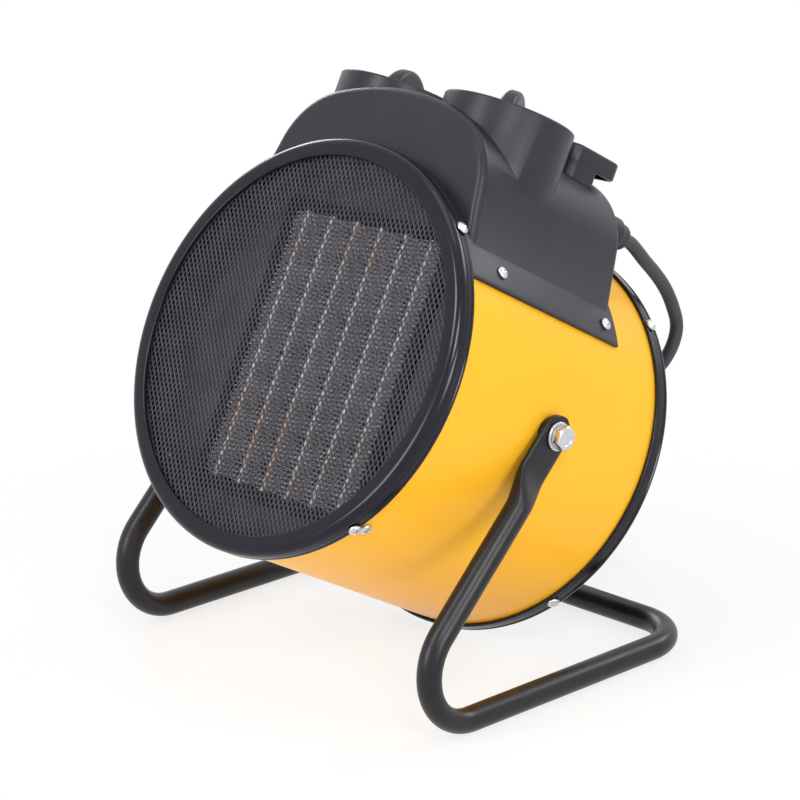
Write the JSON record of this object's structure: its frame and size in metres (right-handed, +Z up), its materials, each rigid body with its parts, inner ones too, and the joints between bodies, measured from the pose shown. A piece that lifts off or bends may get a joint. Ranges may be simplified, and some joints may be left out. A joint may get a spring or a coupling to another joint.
{
  "type": "forced air heater",
  "caption": "Round electric fan heater: a yellow steel drum with black rings, mesh guards and a control housing, tilting on a bent-tube floor stand.",
  "frame": {"origin": "on the floor, under the middle of the standing heater without its cord", "axes": "+Z up and the longest extent, -Y towards the front guard, +X along the tilt axis to the heater's left as it faces its user and the shortest extent, all measured without the cord"},
  "size_m": [0.332, 0.4264, 0.343],
  "materials": {
    "yellow_paint": "gloss",
    "black_paint": "satin",
    "black_plastic": "matte",
    "zinc": "satin",
    "steel": "satin",
    "aluminium": "satin",
    "insulator": "matte",
    "rubber": "matte",
    "brass": "satin"
  },
  "bodies": {
    "stand": {"stand_tube": "black_paint", "cord_lead": "rubber", "cord_coil": "rubber", "plug_body": "rubber", "plug_pin_1": "brass", "plug_pin_2": "brass"},
    "heater": {"front_ring": "black_paint", "rear_ring": "black_paint", "front_grille": "black_paint", "rear_grille": "black_paint", "baffle_plate": "black_paint", "drum_shell": "yellow_paint", "pivot_bolt_right": "zinc", "pivot_bolt_left": "zinc", "pivot_washer_right": "zinc", "pivot_washer_left": "zinc", "pivot_nut_right": "zinc", "pivot_nut_left": "zinc", "pivot_spacer_right": "insulator", "pivot_spacer_left": "insulator", "front_ring_screw_1": "zinc", "front_ring_screw_2": "zinc", "front_ring_screw_3": "zinc", "front_ring_screw_4": "zinc", "rear_ring_screw_1": "zinc", "rear_ring_screw_2": "zinc", "rear_ring_screw_3": "zinc", "rear_ring_screw_4": "zinc", "baffle_screw_1": "zinc", "baffle_screw_2": "zinc", "housing_screw_1": "zinc", "housing_screw_2": "zinc", "housing_screw_3": "zinc", "housing_screw_4": "zinc", "element_core": "aluminium", "element_frame": "insulator", "thermal_cutout": "insulator", "thermostat_body": "insulator", "rotary_switch": "insulator", "terminal_block": "insulator", "fan_motor": "steel", "motor_bracket": "steel", "control_housing": "black_plastic", "carry_handle": "black_plastic", "cable_gland": "black_plastic", "gland_locknut": "black_plastic"},
    "thermostat_knob": {"thermostat_knob": "black_plastic", "thermostat_spindle": "steel"},
    "mode_knob": {"mode_knob": "black_plastic", "mode_spindle": "steel"},
    "fan": {"motor_shaft": "steel", "fan_impeller": "black_plastic", "impeller_nut": "zinc"}
  },
  "joints": [
    {"name": "tilt", "type": "hinge", "parent": "stand", "child": "heater", "pos_m": [0, -0.00166, 0.1585], "axis": [1, 0, 0], "range_deg": [-3, 45], "deforming": ["cord_lead"]},
    {"name": "thermostat_turn", "type": "hinge", "parent": "heater", "child": "thermostat_knob", "pos_m": [0.0435, 0.04211, 0.31644], "axis": [0, -0.4695, -0.8829], "range_deg": [0, 270]},
    {"name": "mode_turn", "type": "hinge", "parent": "heater", "child": "mode_knob", "pos_m": [-0.0435, 0.04211, 0.31644], "axis": [0, -0.4695, -0.8829], "range_deg": [0, 135]},
    {"name": "fan_spin", "type": "hinge", "parent": "heater", "child": "fan", "pos_m": [0, 0.03365, 0.13973], "axis": [0, 0.8829, -0.4695], "continuous": true}
  ]
}
